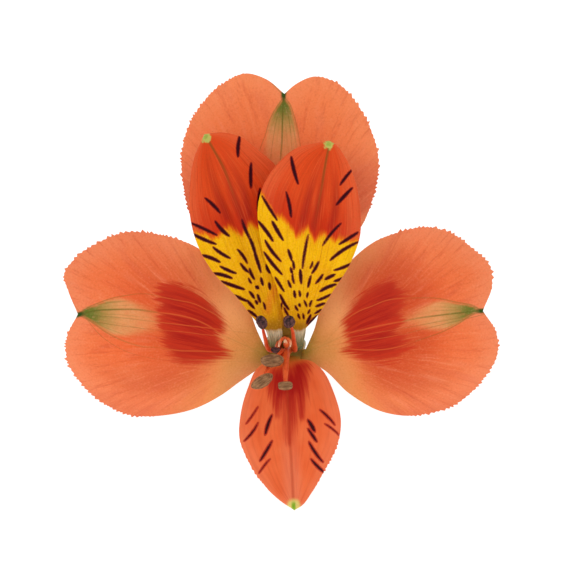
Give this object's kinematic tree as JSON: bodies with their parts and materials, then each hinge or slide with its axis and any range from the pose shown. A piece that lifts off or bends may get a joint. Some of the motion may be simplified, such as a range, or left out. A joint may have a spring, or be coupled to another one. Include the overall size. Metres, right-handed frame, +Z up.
{
  "type": "cut flower",
  "caption": "Open alstroemeria bloom lying on its side tepals and short stalk, with notched outer tepals, striped inner tepals, stamens, style and ribbed ovary.",
  "frame": {"origin": "middle of the footprint, on the surface that the flower lies on", "axes": "+Z up; +Y from the face of the bloom back along its stalk; +X to the right as seen by whoever looks into the bloom"},
  "size_m": [0.0704, 0.081, 0.0475],
  "materials": {
    "outer_tepals": "matte salmon-orange petal, finely veined, with a red patch and a tan-green tip",
    "striped_tepals": "satin red-orange petal over yellow, with maroon dashes",
    "lower_tepal": "satin red-orange petal with a red streak and maroon dashes",
    "stamens": "orange-red filaments, grey-brown and dark purple anthers",
    "style": "satin orange style with paler branches",
    "green_stalk": "satin green, ribbed at the ovary"
  },
  "bodies": {
    "root": {"outer_tepal_top": "outer_tepals", "outer_tepal_left": "outer_tepals", "outer_tepal_right": "outer_tepals", "inner_tepal_upper_left": "striped_tepals", "inner_tepal_upper_right": "striped_tepals", "inner_tepal_lower": "lower_tepal", "stamens": "stamens", "style": "style", "stalk": "green_stalk"}
  },
  "joints": []
}
